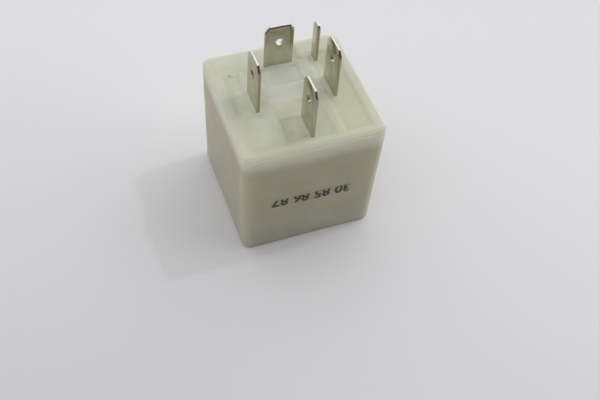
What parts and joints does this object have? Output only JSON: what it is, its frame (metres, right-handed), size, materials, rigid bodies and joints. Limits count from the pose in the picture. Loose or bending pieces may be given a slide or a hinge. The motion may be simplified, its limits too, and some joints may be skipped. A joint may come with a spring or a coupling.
{
  "type": "automotive relay",
  "caption": "Square push-on changeover relay in a milky nylon housing, with coil, yoke, rocking armature and contact set inside.",
  "frame": {"origin": "middle of the closed end's outer face", "axes": "+Z along the blades, away from the closed end; +X to the right along the front face; +Y to the back, where the narrow blade stands"},
  "size_m": [0.0304, 0.0304, 0.0415],
  "materials": {
    "cover_nylon": "natural milky nylon, satin",
    "base_nylon": "natural milky nylon, satin",
    "tinned_brass": "tin-plated, satin bright",
    "yoke_steel": "zinc-plated soft iron",
    "core_iron": "turned soft iron, plated",
    "bobbin_plastic": "black glass-filled polyester",
    "enamelled_copper": "enamelled copper wire",
    "resistor_ceramic": "lacquered resistor body",
    "lead_wire": "tinned wire",
    "armature_steel": "zinc-plated soft iron",
    "spring_bronze": "spring bronze",
    "rivet_steel": "plated rivets",
    "contact_silver": "silver alloy"
  },
  "bodies": {
    "housing": {"cover": "cover_nylon", "base_plate": "base_nylon", "terminal_30": "tinned_brass", "terminal_85": "tinned_brass", "terminal_86": "tinned_brass", "terminal_87": "tinned_brass", "terminal_87a": "tinned_brass", "yoke": "yoke_steel", "core": "core_iron", "bobbin": "bobbin_plastic", "coil_winding": "enamelled_copper", "coil_leads": "enamelled_copper", "resistor_body": "resistor_ceramic", "resistor_leads": "lead_wire", "yoke_rivets": "rivet_steel", "no_contact": "contact_silver", "nc_contact": "contact_silver"},
    "armature_assembly": {"armature": "armature_steel", "contact_spring": "spring_bronze", "armature_rivets": "rivet_steel", "moving_contact": "contact_silver"}
  },
  "joints": [
    {"name": "armature_pivot", "type": "hinge", "parent": "housing", "child": "armature_assembly", "pos_m": [0, -0.0112, 0.00712], "axis": [1, 0, 0], "range_deg": [0, 2.45], "stiffness_Nm_per_rad": 0.04, "springref_deg": -17.19, "deforming": ["contact_spring"]}
  ]
}
